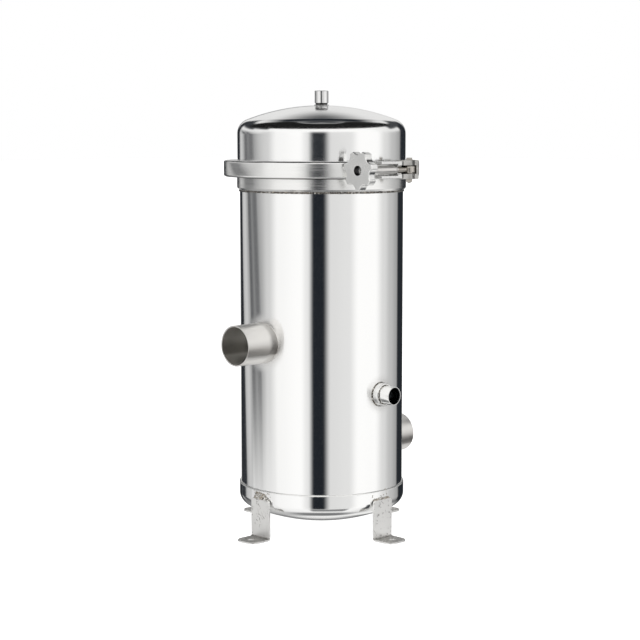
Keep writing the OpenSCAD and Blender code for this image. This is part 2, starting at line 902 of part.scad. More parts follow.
// Square wire wound in a helix: every ring holds the wire's four corners
module spring() {
    steps = 10 * spring_turns;
    climb = (spring_h - spring_wire) / steps;
    w = spring_wire / 2;
    corners = [[-w, -w], [w, -w], [w, w], [-w, w]];
    points = [for (i = [0 : steps]) for (c = corners)
        let (a = 36 * i)
        [(spring_r + c[0]) * cos(a), (spring_r + c[0]) * sin(a), w + climb * i + c[1]]];
    sides = [for (i = [0 : steps - 1]) for (k = [0 : 3])
        let (a = 4 * i + k, b = 4 * i + (k + 1) % 4)
        for (f = [[a, a + 4, b], [b, a + 4, b + 4]]) f];
    last = 4 * steps;
    ends = [[0, 1, 2], [0, 2, 3], [last, last + 2, last + 1], [last, last + 3, last + 2]];
    polyhedron(points = points, faces = concat(sides, ends));
}

module cartridge_springs() {
    color("darkgray")
        for (p = element_xy)
            translate([p[0], p[1], spring_z])
                spring();
}

// Wing nut: a turned hub and two rounded wings
module wing_nut() {
    hub_r = tie_rod_d / 2 + 5;
    wing_t = 4;
    wing_reach = 24;
    wing_corner = 7;
    color("silver")
        translate([0, 0, wing_nut_z])
            difference() {
                union() {
                    cylinder(r1 = hub_r, r2 = hub_r - 1.5, h = wing_hub_h);
                    for (side = [0, 180])
                        rotate([0, 0, side])
                            translate([0, wing_t / 2, 0])
                                rotate([90, 0, 0])
                                    linear_extrude(wing_t) {
                                        polygon([[tie_rod_d / 2 + 1, 1], [hub_r, 1],
                                            [wing_reach, wing_h - wing_corner],
                                            [wing_reach - 2 * wing_corner, wing_h - wing_corner],
                                            [tie_rod_d / 2 + 1, wing_hub_h - 1]]);
                                        translate([wing_reach - wing_corner, wing_h - wing_corner])
                                            circle(wing_corner, $fn = 48);
                                    }
                }
                translate([0, 0, -eps])
                    cylinder(r = tie_rod_d / 2 + fit_gap, h = wing_h + 2 * eps);
            }
}

shell();
bottom_head();
shell_flange();
lid_seal();
inlet_pipe();
outlet_pipe();
side_nozzle();
side_nozzle_collar();
tube_plate();
plate_ledge();
cartridge_seats();
tie_rod();
tie_rod_nuts();
lid_dome();
lid_flange();
vent_socket();
clamp_half_a();
ear_a();
clamp_half_b();
ear_b();
hinge_pin();
swing_pin();
swing_pin_nut();
swing_bolt();
thrust_washer();
star_knob();
knob_sleeve();
hold_down_plate();
hold_down_washer();
spring_cups();
cartridge_springs();
wing_nut();
for (i = [0 : 3])
    foot(full_turn / 4 * i);
for (i = [0 : element_count - 1])
    cartridge(i);
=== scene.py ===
"""Looks of an upright stainless steel cartridge filter housing with a domed lid, a band clamp and a knob.

The CAD nodes keep their places. Finer pieces stand for those that need rounded edges or threads, weld beads
are added, and every piece gets a procedural finish. Shapes are worked out in millimetres and become metres in
their meshes. Finishes and studio are in metres. The origin is on the housing axis at the floor, and +Z is up.
"""
import json
import math

import bmesh
import bpy
import numpy as np
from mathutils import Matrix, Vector


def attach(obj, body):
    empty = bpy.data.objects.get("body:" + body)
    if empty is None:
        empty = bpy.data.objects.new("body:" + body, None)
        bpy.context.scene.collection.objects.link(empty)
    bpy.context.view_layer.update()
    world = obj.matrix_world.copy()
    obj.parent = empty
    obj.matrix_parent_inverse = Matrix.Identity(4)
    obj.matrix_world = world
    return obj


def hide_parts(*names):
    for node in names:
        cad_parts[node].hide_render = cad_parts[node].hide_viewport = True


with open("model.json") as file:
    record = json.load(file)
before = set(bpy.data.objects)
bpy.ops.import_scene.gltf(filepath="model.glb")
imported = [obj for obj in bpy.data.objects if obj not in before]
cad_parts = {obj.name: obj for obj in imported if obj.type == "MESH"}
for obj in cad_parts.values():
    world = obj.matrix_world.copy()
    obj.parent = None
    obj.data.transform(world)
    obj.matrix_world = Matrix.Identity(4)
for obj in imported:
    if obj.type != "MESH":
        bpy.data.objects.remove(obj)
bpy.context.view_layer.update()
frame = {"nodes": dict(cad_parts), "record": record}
scene = bpy.context.scene
MM = 0.001
X, Y, Z = np.eye(3)

# Shader maths


class Wire:
    """One output socket, used like a number: every operator adds its Math node to the same graph."""

    def __init__(self, graph, socket):
        self.graph, self.socket = graph, socket

    def math(self, operation, *values, clamp=False):
        """The Math node of that name on the given numbers and wires."""
        settings = {"operation": operation, "use_clamp": clamp}
        return self.graph.node("Math", settings, dict(enumerate(values)))

    def __add__(self, other):
        return self.math("ADD", self, other)

    def __sub__(self, other):
        return self.math("SUBTRACT", self, other)

    def __rsub__(self, other):
        return self.math("SUBTRACT", other, self)

    def __mul__(self, other):
        return self.math("MULTIPLY", self, other)

    def __truediv__(self, other):
        return self.math("DIVIDE", self, other)

    def __pow__(self, other):
        return self.math("POWER", self, other)

    __radd__, __rmul__ = __add__, __mul__

    def abs(self):
        """The value without its sign."""
        return self.math("ABSOLUTE", self)

    def clamp(self):
        """The value kept between 0 and 1."""
        return self.math("ADD", self, 0.0, clamp=True)

    def ramp(self, low, high, to_low=0.0, to_high=1.0):
        """Goes smoothly from to_low at low to to_high at high."""
        values = {"Value": self, "From Min": low, "From Max": high, "To Min": to_low, "To Max": to_high}
        return self.graph.node("MapRange", {"interpolation_type": "SMOOTHSTEP"}, values)

    def blend(self, a, b):
        """a where this wire is 0 and b where it is 1, for numbers."""
        return self.graph.node("Mix", {"data_type": "FLOAT"}, {0: self, 2: a, 3: b})

    def tint(self, a, b):
        """Colour a where this wire is 0 and colour b where it is 1."""
        return self.graph.node("Mix", {"data_type": "RGBA"}, {0: self, 6: a, 7: b}, output=2)


class Graph:
    """A node tree that is filled by node(), for a material or the world."""

    def __init__(self, owner):
        owner.use_nodes = True
        self.tree = owner.node_tree
        self.tree.nodes.clear()

    def node(self, kind, settings=None, values=None, output=0):
        """Adds a node of the kind, sets its settings and then its sockets, and returns one of its outputs."""
        made = self.tree.nodes.new("ShaderNode" + kind)
        for key, value in (settings or {}).items():
            if key == "stops":
                ramp = made.color_ramp
                while len(ramp.elements) < len(value):
                    ramp.elements.new(0.5)
                for element, (place, _) in zip(ramp.elements, value):
                    element.position = place
                for element, (_, level) in zip(ramp.elements, value):
                    element.color = colour(level)
            elif key == "interpolation":
                made.color_ramp.interpolation = value
            else:
                setattr(made, key, value)
        for key, value in (values or {}).items():
            slot = made.inputs[key]
            if isinstance(value, Wire):
                self.tree.links.new(value.socket, slot)
            elif slot.type == "RGBA":
                slot.default_value = colour(value)
            else:
                slot.default_value = value
        return Wire(self, made.outputs[output]) if made.outputs else None

    def place(self, scale=(1, 1, 1), turn=(0, 0, 0)):
        """Object coordinates, scaled and turned."""
        at = self.node("TexCoord", output="Object")
        return self.node("Mapping", None, {"Vector": at, "Scale": scale, "Rotation": turn})

    def axes(self, vector):
        """The three parts of a vector."""
        parts = self.node("SeparateXYZ", None, {"Vector": vector})
        outputs = parts.socket.node.outputs
        return [Wire(self, outputs[i]) for i in range(3)]

    def noise(self, vector, scale, detail=2.0, rough=0.5, warp=0.0):
        """Smooth noise from 0 to 1."""
        values = {"Vector": vector, "Scale": scale, "Detail": detail, "Roughness": rough, "Distortion": warp}
        return self.node("TexNoise", None, values)

    def bump(self, height, depth):
        """Normal of a relief: height from 0 to 1 is depth metres."""
        return self.node("Bump", None, {"Height": height, "Distance": depth, "Strength": 1.0})


def colour(value):
    """Four numbers from a grey level or a colour of three."""
    return (value,) * 3 + (1.0,) if isinstance(value, (int, float)) else (*value[:3], 1.0)


def finish_of(name, make, **constants):
    """A material: make(graph) returns what varies, and constants are set on the shader's own sockets."""
    material = bpy.data.materials.new(name)
    graph = Graph(material)
    values = {key.replace("_", " "): value for key, value in constants.items()}
    values.update(make(graph))
    shader = graph.node("BsdfPrincipled", None, values)
    graph.node("OutputMaterial", None, {"Surface": shader})
    return material


# The housing's sizes, in millimetres: an R is a radius, a Z a height above the floor, an X or a Y a place
# along that axis, a T a thickness, a reach a distance from the housing axis, and LAY the height of one turn of
# yarn

SLOT_OF = {part["node"]: part["material_slot"] for part in frame["record"]["subparts"]}
BODY_OF = {node: body for body, nodes in frame["record"]["behaviour"]["bodies"].items() for node in nodes}
SHELL_R, BORE_R, SKIRT_R, BAND_R = 150.0, 147.0, 153.1, 179.3
JOINT_Z, LAP_Z, RING_Z, APEX_Z, VENT_TOP = 667.98, 87.18, 628.18, 781.98, 808.48
SEAM_Z, GROOVE_Z = JOINT_Z - 15.4, APEX_Z + 2.6
INLET_Z, OUTLET_Z, PIPE_R, PIPE_BORE_R, PIPE_REACH = 358.28, 151.98, 36.5, 34.0, 216.3
NOZZLE_Z, NOZZLE_R, NOZZLE_BORE_R, NOZZLE_REACH = 265.48, 16.7, 15.05, 184.0
COLLAR_R, COLLAR_BORE_R, COLLAR_REACH = 21.0, 16.8, 161.5
VENT_R, VENT_NECK_R, VENT_CORE_R, VENT_PITCH = 12.5, 10.8, 9.32, 1.814
BOLT_Y, BOLT_R, BOLT_PITCH, ROD_END_X, ROD_FOOT_X = -191.0, 4.95, 1.5, -84.0, 22.0
PIN_X, PIN_BORE_R, EYE_R, EYE_WAIST_R, EYE_HALF = 28.0, 3.05, 11.0, 10.0, 7.0
KNOB_BACK, KNOB_T, KNOB_R, KNOB_HOLE_R, KNOB_BORE_R = -88.08, 16.0, 34.0, 8.25, 6.4
SLEEVE_R, SLEEVE_NECK_R, SLEEVE_BORE_R, NOSE_R, NOSE_X = 7.5, 6.25, 5.0, 6.0, -8.1
SPRING_Z, COIL_R, WIRE_R = 731.98, 11.5, 1.0
ELEMENT_LOW, ELEMENT_TOP, ELEMENT_R, CORE_R, CORE_BORE_R, LAY = 219.88, 727.88, 31.4, 16.5, 14.0, 90.0
BOLT_LINE = BOLT_Y * Y + JOINT_Z * Z
MERGE_WITHIN = 2e-6  # metres


# Finishes


def mirror_polish(g, softer=0.0):
    """Circumferential polish: a faint long waviness of the rolled sheet, fine buffing lines and a few specks.

    Round the roots of the pipes the sheet is brushed by hand, where the welds were dressed, and there its
    colour is also slightly darkened as painted shade.
    """
    sheet = g.noise(g.place(scale=(1, 1, 0.35)), 9.0, detail=1.0)
    lines = g.noise(g.place(scale=(1, 1, 90)), 14.0, detail=3.0, rough=0.6)
    specks = g.noise(g.place(), 420.0, detail=2.0)
    bright = g.noise(g.place(), 5.0, detail=3.0)
    tone = bright.tint((0.975, 0.98, 0.98), (1.0, 1.0, 0.995))
    normal = g.bump(sheet, 0.0003)
    rough = lines.ramp(0.3, 0.75, 0.08 + softer, 0.11 + softer) + specks.ramp(0.68, 0.82, 0.0, 0.08)
    x, y, z = g.axes(g.place())
    # Painted shade round the pipe roots, together with their rougher brushed zone: the colour there goes
    # slightly darker
    root = 0.0
    for off, side, height, reach in ((y, x * -1, INLET_Z, PIPE_R + 1.5), (y, x, OUTLET_Z, PIPE_R + 1.5),
                                     (x, y * -1, NOZZLE_Z, COLLAR_R - 1.0)):
        away = (off ** 2.0 + (z - height * MM) ** 2.0) ** 0.5
        root = away.ramp(reach * MM, (reach + 20.0) * MM, 1.0, 0.0) * side.ramp(0.0, 0.01) + root
    return {"Base Color": (root * 0.35).tint(tone, (0.8, 0.79, 0.77)), "Roughness": root * 0.18 + rough,
            "Normal": normal}


def bright_tube(g):
    """Drawn and buffed tube: small waves and fine lines, and a bore darkened with painted shade."""
    waves = g.noise(g.place(), 60.0, detail=2.0)
    lines = g.noise(g.place(scale=(60, 1, 60)), 30.0, detail=3.0)
    x, y, z = g.axes(g.place())
    # Painted shade: the bore goes dark blue-grey inside its broken edge
    bore = (x ** 2.0 + (z - NOZZLE_Z * MM) ** 2.0) ** 0.5
    oil = bore.ramp((NOZZLE_BORE_R + 0.1) * MM, (NOZZLE_BORE_R + 0.45) * MM, 1.0, 0.0)
    oiled = g.noise(g.place(scale=(1, 1, 14)), 40.0).tint((0.04, 0.048, 0.056), (0.16, 0.175, 0.19))
    return {"Base Color": oil.tint(waves.tint((0.88, 0.88, 0.87), (0.95, 0.95, 0.94)), oiled),
            "Roughness": lines.ramp(0.3, 0.8, 0.06, 0.15), "Normal": g.bump(waves, 0.0002)}


def satin_turned(g):
    """Satin turning: faint lines round the housing axis, and a dark painted shadow line under the clamp."""
    lines = g.noise(g.place(scale=(1, 1, 40)), 9.0, detail=2.0, rough=0.5)
    cloud = g.noise(g.place(), 24.0, detail=3.0)
    normal = g.bump(cloud, 0.00015)
    rough = lines.ramp(0.25, 0.8, 0.19, 0.26) + cloud.ramp(0.5, 0.8, 0.0, 0.04)
    x, y, z = g.axes(g.place())
    # Painted shadow: a dark line just under the clamp band's lower edge, on every satin piece at that height
    seam = (z - SEAM_Z * MM).abs().ramp(0.0009, 0.0014, 1.0, 0.0)
    tone = cloud.tint((0.90, 0.90, 0.89), (0.97, 0.97, 0.96))
    return {"Base Color": seam.tint(tone, (0.14, 0.135, 0.125)), "Roughness": rough, "Normal": normal}


def bead_blasted(g):
    """Bead blasting: an even fine dimpling on warm grey tube, with painted shade as a darker band low on its
    sides.
    """
    dimples = g.noise(g.place(), 900.0, detail=2.0, rough=0.6)
    cloud = g.noise(g.place(), 30.0, detail=4.0)
    normal = g.bump(dimples, 0.00004)
    x, y, z = g.axes(g.place())
    # Painted shade: the pipe's lower side is darkened below its middle, as if in shade
    below = z - x.ramp(-0.001, 0.001, INLET_Z * MM, OUTLET_Z * MM)
    band = below.ramp(-0.021, -0.015) * below.ramp(-0.012, 0.012, 1.0, 0.0)
    tone = cloud.tint((0.84, 0.825, 0.80), (0.94, 0.925, 0.90))
    tone = (band * 0.75).tint(tone, (0.34, 0.32, 0.30))
    return {"Base Color": tone, "Roughness": cloud.ramp(0.3, 0.7, 0.36, 0.44), "Normal": normal}


def tumbled_cast(g):
    """Tumbled casting: a soft orange peel with small pores."""
    peel = g.noise(g.place(), 260.0, detail=3.0, rough=0.55)
    pores = g.noise(g.place(), 700.0, detail=1.0).ramp(0.68, 0.76)
    cloud = g.noise(g.place(), 45.0, detail=3.0)
    normal = g.bump(peel - pores * 0.6, 0.00011)
    tone = pores.tint(cloud.tint((0.86, 0.86, 0.85), (0.95, 0.95, 0.94)), (0.5, 0.49, 0.47))
    return {"Base Color": tone, "Roughness": cloud.ramp(0.3, 0.7, 0.18, 0.28), "Normal": normal}


def knob_cast(g):
    """The knob's casting: as the tumbled one, with painted shade darkening the blind hole round the bolt's
    line.
    """
    made = tumbled_cast(g)
    x, y, z = g.axes(g.place())
    off_axis = ((y - BOLT_Y * MM) ** 2.0 + (z - JOINT_Z * MM) ** 2.0) ** 0.5
    # Painted shade: the blind hole round the bolt's line goes near black
    dark = off_axis.ramp((KNOB_HOLE_R + 0.35) * MM, (KNOB_HOLE_R + 0.75) * MM, 1.0, 0.0)
    made["Base Color"] = dark.tint(made["Base Color"], (0.08, 0.08, 0.084))
    return made


def pickled_plate(g):
    """Pickled plate: dull grey with handling scratches and small dents, and speckled dark on the pads."""
    scratches = g.node("TexWave", {"wave_type": "BANDS"}, {
        "Vector": g.place(turn=(0.3, 0.2, 0.9)), "Scale": 60.0, "Distortion": 14.0, "Detail": 3.0})
    marks = scratches.ramp(0.95, 0.995) * g.noise(g.place(), 80.0).ramp(0.58, 0.66)
    dents = g.noise(g.place(), 180.0, detail=1.0).ramp(0.66, 0.76)
    cloud = g.noise(g.place(), 35.0, detail=4.0)
    speckle = g.noise(g.place(), 420.0, detail=3.0, rough=0.7)
    x, y, z = g.axes(g.place())
    pad = z.ramp(0.0048, 0.0075, 1.0, 0.0) * z.ramp(0.0025, 0.0042)
    tone = cloud.tint((0.90, 0.895, 0.88), (0.99, 0.985, 0.97))
    tone = pad.tint(tone, speckle.ramp(0.4, 0.6).tint((0.22, 0.21, 0.195), (0.66, 0.65, 0.63)))
    tone = marks.tint(tone, (0.3, 0.29, 0.27))
    tone = (dents * 0.6).tint(tone, (0.4, 0.39, 0.37))
    normal = g.bump(cloud * 0.3 - marks * 0.5 - dents, 0.0005)
    return {"Base Color": tone, "Roughness": cloud.ramp(0.3, 0.7, 0.3, 0.44) - marks * 0.08, "Normal": normal}


def weld_metal(g, slag_from=0.52):
    """Brushed weld: bright crowns with brown heat stain and dark slag in the hollows."""
    stain = g.noise(g.place(), 150.0, detail=4.0, rough=0.65)
    slag = g.noise(g.place(), 420.0, detail=3.0, rough=0.7)
    tone = stain.ramp(0.4, 0.62).tint((0.92, 0.91, 0.88), (0.52, 0.46, 0.38))
    tone = slag.ramp(slag_from, slag_from + 0.1).tint(tone, (0.1, 0.09, 0.08))
    return {"Base Color": tone, "Roughness": stain.ramp(0.3, 0.7, 0.18, 0.35), "Normal": g.bump(slag, 0.0004)}


def rolled_bolt(g):
    """Rolled bolt steel: darker and warmer than the castings, with fine lines along it."""
    lines = g.noise(g.place(scale=(1, 20, 20)), 40.0, detail=3.0)
    cloud = g.noise(g.place(), 90.0, detail=3.0)
    return {"Base Color": cloud.tint((0.44, 0.41, 0.37), (0.60, 0.57, 0.53)),
            "Roughness": lines.ramp(0.3, 0.8, 0.2, 0.32), "Normal": g.bump(lines, 0.00002)}


def shaded_cast(g):
    """Casting painted darker all over as shade between the plates, over the tumbled one's relief."""
    made = tumbled_cast(g)
    # Painted shade: the whole piece takes a darker grey than the tumbled casting
    skin = g.noise(g.place(), 70.0, detail=3.0).ramp(0.35, 0.65)
    made["Base Color"] = skin.tint((0.42, 0.415, 0.40), (0.62, 0.61, 0.59))
    return made


def machined_bright(g):
    """Bright machining: fine tool lines that run along Y, with cloudy tone."""
    lines = g.noise(g.place(scale=(60, 1, 60)), 30.0, detail=3.0)
    cloud = g.noise(g.place(), 60.0, detail=2.0)
    return {"Base Color": cloud.tint((0.80, 0.80, 0.80), (0.9, 0.9, 0.9)),
            "Roughness": lines.ramp(0.3, 0.8, 0.12, 0.24), "Normal": g.bump(lines, 0.000012)}


def sooty_socket(g):
    """Bright machining with painted shade darkening the groove above the socket's neck."""
    made = machined_bright(g)
    x, y, z = g.axes(g.place())
    # Painted shade: a dark line in the groove above the socket's neck
    soot = (z - GROOVE_Z * MM).abs().ramp(0.0009, 0.0016, 1.0, 0.0)
    made["Base Color"] = soot.tint(made["Base Color"], (0.06, 0.058, 0.055))
    return made


def drawn_wire(g):
    """Drawn spring wire: grey with fine lengthwise lines."""
    lines = g.noise(g.place(scale=(1, 1, 8)), 900.0, detail=2.0)
    return {"Base Color": lines.tint((0.50, 0.50, 0.50), (0.62, 0.62, 0.61)),
            "Roughness": lines.ramp(0.3, 0.7, 0.24, 0.4), "Normal": g.bump(lines, 0.00002)}


def moulded_rubber(g):
    """Moulded rubber: black with a faint grey bloom."""
    bloom = g.noise(g.place(), 60.0, detail=4.0)
    grain = g.noise(g.place(), 1500.0, detail=1.0)
    return {"Base Color": bloom.tint((0.018, 0.018, 0.018), (0.05, 0.05, 0.048)),
            "Roughness": bloom.ramp(0.3, 0.7, 0.5, 0.68), "Normal": g.bump(grain, 0.00003)}


def moulded_plastic(g):
    """Moulded polypropylene: milky white with faint flow marks."""
    flow = g.noise(g.place(), 40.0, detail=3.0, warp=1.5)
    return {"Base Color": flow.tint((0.74, 0.74, 0.71), (0.84, 0.84, 0.81)),
            "Roughness": flow.ramp(0.3, 0.7, 0.34, 0.45), "Normal": g.bump(flow, 0.00005)}


def wound_yarn(g):
    """Wound yarn: white fluffy strands."""
    strands = g.noise(g.place(scale=(1, 1, 6)), 160.0, detail=3.0)
    fuzz = g.noise(g.place(), 1200.0, detail=2.0)
    return {"Base Color": strands.tint((0.70, 0.69, 0.65), (0.88, 0.87, 0.84)),
            "Roughness": fuzz.ramp(0.3, 0.7, 0.8, 0.95), "Normal": g.bump(strands + fuzz * 0.4, 0.0008)}


FINISHES = {
    "mirror_steel": finish_of("mirror_polished_steel", mirror_polish, Metallic=1.0, Anisotropic=0.8,
                              Anisotropic_Rotation=0.25),
    "satin_steel": finish_of("satin_turned_steel", satin_turned, Metallic=1.0),
    "pipe_steel": finish_of("bead_blasted_steel", bead_blasted, Metallic=1.0),
    "cast_steel": finish_of("tumbled_cast_steel", tumbled_cast, Metallic=1.0),
    "foot_steel": finish_of("pickled_steel_plate", pickled_plate, Metallic=1.0),
    "fastener_steel": finish_of("bright_machined_steel", machined_bright, Metallic=1.0),
    "spring_steel": finish_of("drawn_spring_wire", drawn_wire, Metallic=1.0),
    "seal_rubber": finish_of("black_seal_rubber", moulded_rubber),
    "seat_plastic": finish_of("milky_polypropylene", moulded_plastic),
    "filter_media": finish_of("wound_polypropylene_yarn", wound_yarn),
}
SOCKET_STEEL = finish_of("bright_machined_socket", sooty_socket, Metallic=1.0)
KNOB_STEEL = finish_of("tumbled_cast_knob", knob_cast, Metallic=1.0)
BRIGHT_TUBE = finish_of("bright_drawn_tube", bright_tube, Metallic=1.0)
WELD_METAL = finish_of("brushed_weld_metal", weld_metal, Metallic=1.0)
# More slag than the brushed weld: partly real slag and partly painted shade, for the dark edge round the
# nozzle collar and the line under the ring
DARK_WELD = finish_of("slag_and_shade_weld_metal", lambda g: weld_metal(g, 0.4), Metallic=1.0)
BOLT_STEEL = finish_of("rolled_bolt_steel", rolled_bolt, Metallic=1.0)
OWN_FINISH = {
    "lid_dome": finish_of("buffed_lid_steel", lambda g: mirror_polish(g, 0.045), Metallic=1.0,
                          Anisotropic=0.6, Anisotropic_Rotation=0.25),
    # ear_b's cast steel is painted darker as shade
    "ear_b": finish_of("painted_shade_cast_steel", shaded_cast, Metallic=1.0),
    "swing_pin": BOLT_STEEL, "swing_pin_nut": BOLT_STEEL,
}


# Shapes


def grid_faces(rows, columns, close_rows=False, close_columns=True):
    """Four-sided faces of a grid of points numbered row by row.

    A closed direction joins its last line to its first.
    """
    row_steps, column_steps = rows - (not close_rows), columns - (not close_columns)
    i, j = np.meshgrid(np.arange(row_steps), np.arange(column_steps), indexing="ij")
    k, l = (i + 1) % rows, (j + 1) % columns
    return np.stack([i * columns + j, k * columns + j, k * columns + l, i * columns + l], -1).reshape(-1, 4)


def merged_object(name, points, faces, mend):
    """Smooth object from points in metres: its doubles are merged, then mend(bmesh) is done to it."""
    mesh = bpy.data.meshes.new(name)
    mesh.from_pydata(points.tolist(), [], faces)
    merged = bmesh.new()
    merged.from_mesh(mesh)
    bmesh.ops.remove_doubles(merged, verts=merged.verts, dist=MERGE_WITHIN)
    mend(merged)
    merged.to_mesh(mesh)
    merged.free()
    mesh.polygons.foreach_set("use_smooth", np.ones(len(mesh.polygons), bool))
    made = bpy.data.objects.new(name, mesh)
    scene.collection.objects.link(made)
    return made


def piece(name, shells, body, slot, stands_for=(), finish=None):
    """One object from shells of (points in millimetres, faces), with its faces turned outwards."""
    points, faces, count = [], [], 0
    for shell_points, shell_faces in shells:
        points.append(np.asarray(shell_points, float).reshape(-1, 3) * MM)
        faces.append(shell_faces + count)
        count += len(points[-1])
    made = merged_object(name, np.concatenate(points), np.concatenate(faces).tolist(),
                         lambda merged: bmesh.ops.recalc_face_normals(merged, faces=merged.faces))
    made.data.materials.append(finish or FINISHES[slot])
    if stands_for:
        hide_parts(*stands_for)
    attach(made, body)


def softened(node, width):
    """Stands for a CAD node whose edges need rounding: its flats are joined and its edges bevelled."""
    source, slot, flat = frame["nodes"][node].data, SLOT_OF[node], math.radians(0.4)

    def join_flats(merged):
        """Joins neighbouring faces that lie in one plane."""
        bmesh.ops.dissolve_limit(merged, angle_limit=flat, verts=merged.verts, edges=merged.edges)

    points = np.empty(len(source.vertices) * 3)
    source.vertices.foreach_get("co", points)
    faces = [list(face.vertices) for face in source.polygons]
    made = merged_object(node + "_rounded", points.reshape(-1, 3), faces, join_flats)
    bevel = made.modifiers.new("rounding", "BEVEL")
    bevel.width, bevel.segments = width * MM, 3
    bevel.limit_method, bevel.angle_limit = "ANGLE", math.radians(28)
    bevel.harden_normals = True
    made.data.materials.append(OWN_FINISH.get(node, FINISHES[slot]))
    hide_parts(node)
    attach(made, BODY_OF[node])


def rounded(corners, radius, steps=5):
    """Closed outline whose corners become parabolas.

    At share s a corner's curve is (1 - s)^2 a + 2 s (1 - s) corner + s^2 b, where a and b lie one radius
    before and after the corner, or at most 0.4 of the flat. One more point just outside each end keeps the
    flats flat when they are shaded smooth, so each corner makes steps + 3 points.
    """
    corner = np.asarray(corners, float)
    before, after = np.roll(corner, 1, 0) - corner, np.roll(corner, -1, 0) - corner
    length_before = np.linalg.norm(before, axis=1, keepdims=True)
    length_after = np.linalg.norm(after, axis=1, keepdims=True)
    wanted = np.broadcast_to(np.reshape(radius, (-1, 1)), (len(corner), 1))
    reach = np.minimum(wanted, 0.4 * np.minimum(length_before, length_after))
    toward_before, toward_after = before / length_before, after / length_after
    a, b = corner + toward_before * reach, corner + toward_after * reach
    s = np.linspace(0, 1, steps + 1)[None, :, None]
    curve = (1 - s) ** 2 * a[:, None] + 2 * s * (1 - s) * corner[:, None] + s ** 2 * b[:, None]
    first, last = a + toward_before * reach * 0.2, b + toward_after * reach * 0.2
    return np.concatenate([first[:, None], curve, last[:, None]], 1).reshape(-1, 2)


def spun(profile, axis, at, count=96):
    """Closed profile of (radius, distance along the axis) turned round the axis.

    A point is at + distance axis + radius (cos t ray_a + sin t ray_b), with the two rays square to the axis.
    """
    axis = np.asarray(axis, float)
    ray_a = X if abs(axis[0]) < 0.5 else Y
    ray_b = np.cross(axis, ray_a)
    angle = np.linspace(0, 2 * np.pi, count, endpoint=False)[None, :, None]
    radius, along = np.asarray(profile, float).T[:, :, None, None]
    points = np.asarray(at, float) + along * axis + radius * (np.cos(angle) * ray_a + np.sin(angle) * ray_b)
    return points, grid_faces(len(profile), count, close_rows=True)


def stub(outer_r, inner_r, axis, height, base_r, reach, corner, count=96):
    """Pipe that leaves the upright cylinder of radius base_r.

    At angle t round the pipe its foot lies sqrt(base_r^2 - (r cos t)^2) from the housing axis. The wall
    runs from the foot out to the rounded mouth and back inside.
    """
    mouth = rounded([(outer_r, 0), (outer_r, reach), (inner_r, reach), (inner_r, 0)], [0, corner, corner, 0])
    angle = np.linspace(0, 2 * np.pi, count, endpoint=False)
    across, walls = np.cross(axis, Z), []
    for radius in (outer_r, inner_r):
        foot = np.sqrt(base_r ** 2 - (radius * np.cos(angle)) ** 2)
        straight = reach - 3 * corner - foot
        walls.append([(np.full(count, radius), foot + share * straight) for share in (0.0, 0.35, 0.7)])
    edge = mouth[mouth[:, 1] > reach - 2.9 * corner]
    middle = [(np.full(count, r), np.full(count, d)) for r, d in edge]
    lines = walls[0] + middle + walls[1][::-1]
    radius = np.array([line[0] for line in lines])[:, :, None]
    along = np.array([line[1] for line in lines])[:, :, None]
    turn = angle[None, :, None]
    points = along * axis + radius * (np.cos(turn) * across + np.sin(turn) * Z) + Z * height
    return points, grid_faces(len(lines), count, close_rows=True)


def smooth_waves(length, waves, seed):
    """Slow wander between -1 and 1 along a closed line: the mean of five sines with seeded phases."""
    phases = np.random.default_rng(seed).uniform(0, 2 * np.pi, 5)
    counts = np.array([1, 2, 3, 5, 8]) * waves
    turn = np.linspace(0, 2 * np.pi, length, endpoint=False)[:, None]
    return np.sin(counts * turn + phases).mean(1)


def bead(path, outward, width, rise, closed=True, pitch=2.4, seed=1, lumps=0.12):
    """Weld bead: an ellipse of the width and twice the rise, carried along the path.

    Its size is 1 + lumps times a slow wander, and its rise is taken times 1 - 0.2 (2 f - 1)^2, where f is the
    fraction of distance / pitch. The ripples trail behind at the bead's edges, so that they lie like fish
    scales. An open bead thins out to its ends.
    """
    path, outward = np.asarray(path, float), np.asarray(outward, float)
    ahead = np.roll(path, -1, 0) - np.roll(path, 1, 0) if closed else np.gradient(path, axis=0)
    ahead /= np.linalg.norm(ahead, axis=1, keepdims=True)
    side = np.cross(ahead, outward)
    side /= np.linalg.norm(side, axis=1, keepdims=True)
    step = np.linalg.norm(np.diff(path, axis=0, prepend=path[-1:] if closed else path[:1]), axis=1)
    run = np.cumsum(step)[:, None]
    ripples = max(1, round(run[-1, 0] / pitch))
    turn = np.linspace(0, 2 * np.pi, 12, endpoint=False)[None, :]
    phase = run / run[-1, 0] * ripples + 0.45 * np.cos(turn) ** 2
    scale = 1 - 0.2 * np.abs(2 * (phase % 1) - 1) ** 2
    size = 1 + lumps * (smooth_waves(len(path), 7, seed) + smooth_waves(len(path), 23, seed + 1))[:, None]
    if not closed:
        size = size * np.sqrt(np.clip(np.sin(np.pi * np.linspace(0, 1, len(path))), 0, 1) ** 0.35)[:, None]
    points = (path[:, None] + side[:, None] * (width / 2 * size * np.cos(turn))[..., None]
              + outward[:, None] * (rise * size * scale * np.sin(turn))[..., None])
    return points, grid_faces(len(path), 12, close_rows=closed)


def ring_bead(radius, height, tilt, width, rise, count, seed):
    """Bead on a circle round the housing axis; tilt is the angle of its crown above the horizontal."""
    angle = np.linspace(0, 2 * np.pi, count, endpoint=False)
    ray = np.stack([np.cos(angle), np.sin(angle), np.zeros(count)], 1)
    lean = math.radians(tilt)
    return bead(ray * radius + Z * height, ray * math.cos(lean) + Z * math.sin(lean), width, rise, seed=seed)


